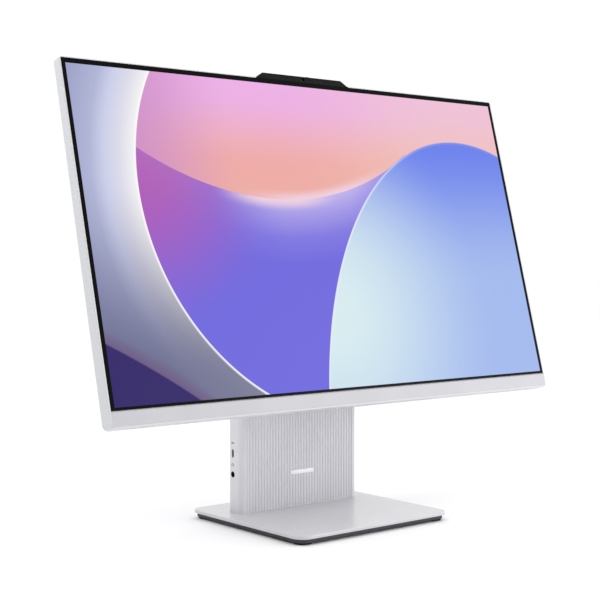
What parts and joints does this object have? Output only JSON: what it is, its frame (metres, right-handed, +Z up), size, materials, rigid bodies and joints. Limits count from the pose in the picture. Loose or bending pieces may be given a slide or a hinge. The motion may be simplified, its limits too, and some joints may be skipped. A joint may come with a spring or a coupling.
{
  "type": "all in one pc",
  "caption": "Desktop computer built into a slab column on a flat base, with a wide thin display that tilts on a friction hinge.",
  "frame": {"origin": "on the table under the centre of the base", "axes": "+Z up; the screen faces -Y; +X to the right of a person facing the screen"},
  "size_m": [0.61, 0.1936, 0.489],
  "materials": {
    "screen_glass": "anti-glare front glass over the lit picture, black border",
    "clear_acrylic": "polished acrylic light guide",
    "led_board": "white solder mask with light emitters",
    "tray_metal": "bare aluminium tray",
    "zinc_steel": "zinc-plated sheet steel",
    "bezel_plastic": "fine-textured light grey plastic",
    "shell_plastic": "fine-textured white-grey plastic",
    "reeded_plastic": "reeded satin grey plastic",
    "circuit_board": "green solder mask",
    "ribbon_film": "amber polyimide film",
    "black_plastic": "black moulded plastic",
    "antenna_foil": "thin brass foil",
    "lens_glass": "coated camera lens",
    "shutter_plastic": "black textured plastic",
    "bracket_steel": "nickel-plated pressed steel",
    "bright_steel": "polished steel",
    "screw_steel": "black-nickel screws",
    "washer_brass": "plain brass washer",
    "copper": null,
    "fin_aluminium": "thin bare aluminium fins",
    "port_metal": "nickel-plated port shells",
    "button_plastic": "satin light grey plastic",
    "base_paint": "satin white powder coat",
    "tray_plastic": "dark grey moulded plastic",
    "foot_rubber": "black rubber"
  },
  "bodies": {
    "stand": {"column_front_cover": "reeded_plastic", "column_rear_cover": "shell_plastic", "column_top_grille": "shell_plastic", "column_frame": "zinc_steel", "hinge_arms": "bracket_steel", "friction_washers": "washer_brass", "hinge_cover": "shell_plastic", "hinge_screws": "screw_steel", "stand_ribbon": "ribbon_film", "mainboard": "circuit_board", "processor": "circuit_board", "cold_plate": "copper", "heat_pipe": "copper", "fin_stack": "fin_aluminium", "fan_housing": "black_plastic", "memory_modules": "circuit_board", "solid_state_drive": "circuit_board", "wifi_card": "circuit_board", "coin_cell": "bright_steel", "board_screws": "screw_steel", "side_port_board": "circuit_board", "usb_c_port": "port_metal", "audio_jack": "black_plastic", "dc_inlet": "black_plastic", "ethernet_port": "port_metal", "hdmi_ports": "port_metal", "usb_a_ports": "port_metal", "io_plate": "port_metal", "button_board": "circuit_board", "base_plate": "base_paint", "base_weight": "zinc_steel", "base_tray": "tray_plastic", "rubber_feet": "foot_rubber", "base_screws": "screw_steel"},
    "display": {"lcd_panel": "screen_glass", "light_guide": "clear_acrylic", "led_strip": "led_board", "backlight_tray": "tray_metal", "display_chassis": "zinc_steel", "chin_bezel": "bezel_plastic", "display_rear_cover": "shell_plastic", "driver_board": "circuit_board", "display_ribbon": "ribbon_film", "speaker_left": "black_plastic", "speaker_right": "black_plastic", "wifi_antennas": "antenna_foil", "camera_housing": "black_plastic", "camera_board": "circuit_board", "camera_lens": "lens_glass", "tilt_bracket": "bracket_steel", "hinge_pins": "bright_steel", "bracket_screws": "screw_steel", "bracket_cover": "shell_plastic", "display_screws": "screw_steel"},
    "shutter": {"privacy_shutter": "shutter_plastic"},
    "fan": {"fan_impeller": "black_plastic"},
    "power_key": {"power_button": "button_plastic"},
    "brightness_up_key": {"brightness_up_button": "button_plastic"},
    "brightness_down_key": {"brightness_down_button": "button_plastic"},
    "input_key": {"input_button": "button_plastic"}
  },
  "joints": [
    {"name": "display_tilt", "type": "hinge", "parent": "stand", "child": "display", "pos_m": [0, 0.0194, 0.3], "axis": [1, 0, 0], "range_deg": [-5, 20]},
    {"name": "shutter_slide", "type": "slide", "parent": "display", "child": "shutter", "axis": [-1, 0, 0], "range_m": [0, 0.0085]},
    {"name": "fan_spin", "type": "hinge", "parent": "stand", "child": "fan", "pos_m": [0.006, 0.0473, 0.272], "axis": [0, 1, 0], "continuous": true},
    {"name": "power_press", "type": "slide", "parent": "stand", "child": "power_key", "axis": [-1, 0, 0], "range_m": [0, 0.0008], "stiffness_N_per_m": 900, "springref_m": -0.0005},
    {"name": "brightness_up_press", "type": "slide", "parent": "stand", "child": "brightness_up_key", "axis": [-1, 0, 0], "range_m": [0, 0.0008], "stiffness_N_per_m": 900, "springref_m": -0.0005},
    {"name": "brightness_down_press", "type": "slide", "parent": "stand", "child": "brightness_down_key", "axis": [-1, 0, 0], "range_m": [0, 0.0008], "stiffness_N_per_m": 900, "springref_m": -0.0005},
    {"name": "input_press", "type": "slide", "parent": "stand", "child": "input_key", "axis": [-1, 0, 0], "range_m": [0, 0.0008], "stiffness_N_per_m": 900, "springref_m": -0.0005}
  ]
}
